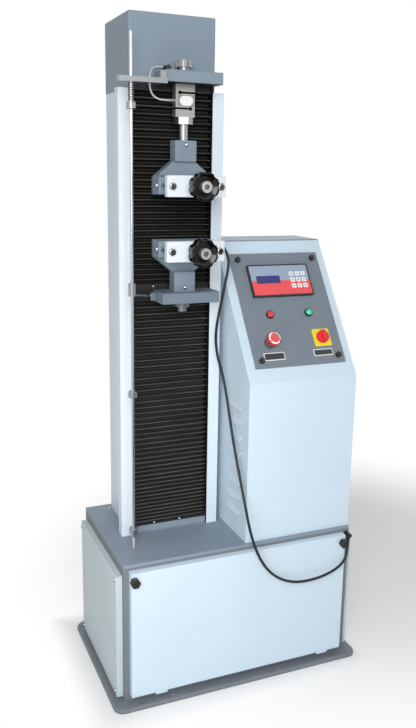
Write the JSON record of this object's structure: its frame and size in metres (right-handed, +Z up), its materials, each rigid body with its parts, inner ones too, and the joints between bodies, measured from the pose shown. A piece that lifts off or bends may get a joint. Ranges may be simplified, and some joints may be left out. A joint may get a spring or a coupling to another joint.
{
  "type": "universal testing machine",
  "caption": "Floor-standing single-column tensile testing machine: screw-driven crosshead behind bellows, screw grips, load cell, limit rod and sloping control console on a cabinet.",
  "frame": {"origin": "middle of the cabinet's footprint, on the floor", "axes": "+Z up, +X to the operator's right, +Y to the back"},
  "size_m": [0.788, 0.4988, 1.888],
  "materials": {
    "pale_paint": "satin powder coat",
    "grey_paint": "fine textured powder coat",
    "plated_steel": "zinc plated, satin",
    "nickel_steel": "bright nickel",
    "yoke_paint": "satin enamel",
    "cell_alloy": "clear anodised",
    "motor_paint": "satin black",
    "black_plastic": "fine moulded",
    "belt_rubber": "matt",
    "bellows_cloth": "coated cloth",
    "display_plastic": "moulded bezel",
    "lamp_lens": "clear coloured lens in a black bezel",
    "red_plastic": "moulded",
    "cable_black": "satin jacket",
    "cable_grey": "satin jacket"
  },
  "bodies": {
    "frame": {"left_side_panel": "pale_paint", "right_side_panel": "pale_paint", "base_back_panel": "pale_paint", "front_cover": "pale_paint", "column_profile": "pale_paint", "console_shell": "pale_paint", "base_frame": "grey_paint", "base_top_plate": "grey_paint", "console_lid": "grey_paint", "control_plate": "grey_paint", "motor_bracket": "grey_paint", "column_top_plate": "grey_paint", "head_cover": "grey_paint", "load_plate": "grey_paint", "upper_grip_body": "grey_paint", "panel_screws": "plated_steel", "limit_spring": "plated_steel", "rod_guide_bar": "plated_steel", "load_stud": "plated_steel", "load_plate_bolt": "plated_steel", "estop_collar": "plated_steel", "upper_grip_bolts": "nickel_steel", "guide_rods": "nickel_steel", "upper_grip_yoke": "yoke_paint", "load_cell": "cell_alloy", "lower_bearing_block": "cell_alloy", "upper_bearing_block": "cell_alloy", "drive_motor": "motor_paint", "limit_switch": "motor_paint", "plate_thumb_screws": "black_plastic", "cable_glands": "black_plastic", "timing_belt": "belt_rubber", "bellows_upper": "bellows_cloth", "bellows_lower": "bellows_cloth", "display_unit": "display_plastic", "pilot_lamps": "lamp_lens", "signal_cable": "cable_black", "load_cell_cable": "cable_grey"},
    "crosshead": {"crosshead_plate": "grey_paint", "crosshead_bolt": "plated_steel", "carriage": "cell_alloy", "linear_bushings": "nickel_steel", "screw_nut": "nickel_steel", "trip_arm": "plated_steel", "lower_grip_body": "grey_paint", "lower_grip_yoke": "yoke_paint", "lower_grip_bolts": "nickel_steel"},
    "drive_screw": {"ball_screw": "nickel_steel", "screw_pulley": "cell_alloy"},
    "motor_rotor": {"motor_pulley": "cell_alloy"},
    "upper_jaw": {"upper_grip_jaw": "grey_paint"},
    "upper_knob": {"upper_grip_knob": "black_plastic"},
    "lower_jaw": {"lower_grip_jaw": "grey_paint"},
    "lower_knob": {"lower_grip_knob": "black_plastic"},
    "limit_trip": {"limit_rod": "plated_steel", "limit_collars": "plated_steel"},
    "estop_button": {"estop_head": "red_plastic"},
    "mains_selector": {"selector_handle": "red_plastic"},
    "left_cover_knob": {"cover_knob_left": "black_plastic"},
    "right_cover_knob": {"cover_knob_right": "black_plastic"}
  },
  "joints": [
    {"name": "crosshead_travel", "type": "slide", "parent": "frame", "child": "crosshead", "axis": [0, 0, 1], "range_m": [-0.235, 0.088], "deforming": ["bellows_upper", "bellows_lower"]},
    {"name": "screw_spin", "type": "hinge", "parent": "frame", "child": "drive_screw", "pos_m": [-0.161, 0.112, 1], "axis": [0, 0, 1], "continuous": true},
    {"name": "motor_spin", "type": "hinge", "parent": "frame", "child": "motor_rotor", "pos_m": [0.072, 0.112, 0.34], "axis": [0, 0, 1], "continuous": true},
    {"name": "upper_jaw_slide", "type": "slide", "parent": "frame", "child": "upper_jaw", "axis": [0, -1, 0], "range_m": [0, 0.035]},
    {"name": "upper_knob_turn", "type": "hinge", "parent": "upper_jaw", "child": "upper_knob", "pos_m": [-0.138, -0.2, 1.45], "axis": [0, -1, 0], "range_deg": [0, 4205]},
    {"name": "lower_jaw_slide", "type": "slide", "parent": "crosshead", "child": "lower_jaw", "axis": [0, -1, 0], "range_m": [0, 0.035]},
    {"name": "lower_knob_turn", "type": "hinge", "parent": "lower_jaw", "child": "lower_knob", "pos_m": [-0.138, -0.2, 1.281], "axis": [0, -1, 0], "range_deg": [0, 4205]},
    {"name": "limit_rod_slide", "type": "slide", "parent": "frame", "child": "limit_trip", "axis": [0, 0, 1], "range_m": [-0.006, 0.006], "stiffness_N_per_m": 2000, "springref_m": 0.004, "deforming": ["limit_spring"]},
    {"name": "estop_push", "type": "slide", "parent": "frame", "child": "estop_button", "axis": [0, 0.8232, -0.5677], "range_m": [0, 0.006]},
    {"name": "selector_turn", "type": "hinge", "parent": "frame", "child": "mains_selector", "pos_m": [0.275, -0.13955, 1.02017], "axis": [0, -0.8232, 0.5677], "range_deg": [0, 90]},
    {"name": "left_cover_knob_turn", "type": "hinge", "parent": "frame", "child": "left_cover_knob", "pos_m": [-0.335, -0.24, 0.393], "axis": [0, -1, 0], "range_deg": [0, 90]},
    {"name": "right_cover_knob_turn", "type": "hinge", "parent": "frame", "child": "right_cover_knob", "pos_m": [0.327, -0.24, 0.393], "axis": [0, -1, 0], "range_deg": [0, 90]}
  ],
  "couplings": [
    {"joint": "screw_spin", "follows": "crosshead_travel", "rad_per_m": -628.32},
    {"joint": "motor_spin", "follows": "crosshead_travel", "rad_per_m": -1508},
    {"joint": "upper_knob_turn", "follows": "upper_jaw_slide", "rad_per_m": 2094.4},
    {"joint": "lower_knob_turn", "follows": "lower_jaw_slide", "rad_per_m": 2094.4}
  ]
}
